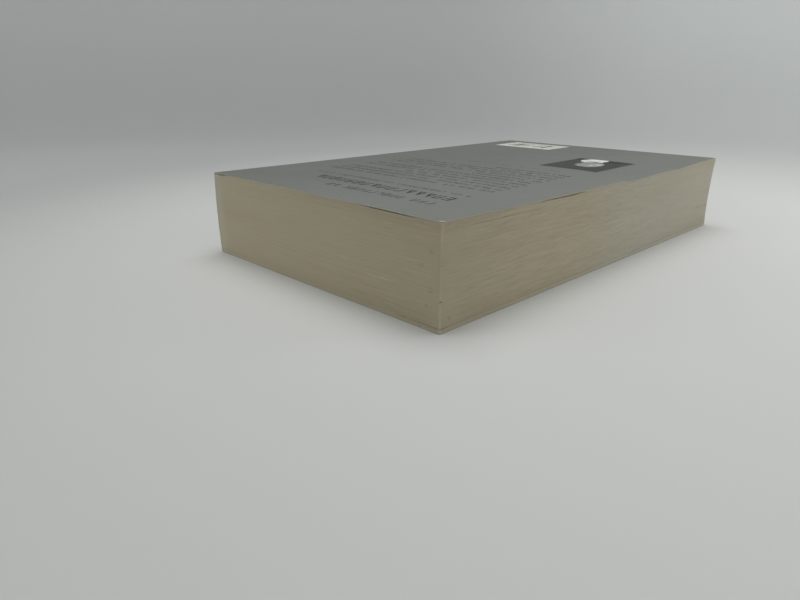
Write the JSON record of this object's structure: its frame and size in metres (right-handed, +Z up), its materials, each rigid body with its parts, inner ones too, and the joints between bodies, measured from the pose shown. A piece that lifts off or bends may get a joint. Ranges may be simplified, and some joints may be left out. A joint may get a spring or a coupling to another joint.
{
  "type": "paperback book",
  "caption": "Thick pocket paperback: glued page block in a wrap-round card cover whose front and back sides swing on scored creases.",
  "frame": {"origin": "middle of the underside, on the outer face of the front cover as the book lies on it", "axes": "+X from the spine to the fore edge, +Y from the head to the tail, +Z up through the back cover"},
  "size_m": [0.11, 0.178, 0.0295],
  "materials": {
    "pages": "matte",
    "cover_card": "satin",
    "glue": "satin"
  },
  "bodies": {
    "block": {"page_block": "pages", "spine_glue": "glue", "spine": "cover_card"},
    "front_cover": {"front_cover": "cover_card"},
    "back_cover": {"back_cover": "cover_card"}
  },
  "joints": [
    {"name": "front_cover_hinge", "type": "hinge", "parent": "block", "child": "front_cover", "pos_m": [-0.0479, 0, 0], "axis": [0, 1, 0], "range_deg": [0, 175], "stiffness_Nm_per_rad": 0.01},
    {"name": "back_cover_hinge", "type": "hinge", "parent": "block", "child": "back_cover", "pos_m": [-0.0479, 0, 0.0295], "axis": [0, -1, 0], "range_deg": [0, 175], "stiffness_Nm_per_rad": 0.01}
  ]
}
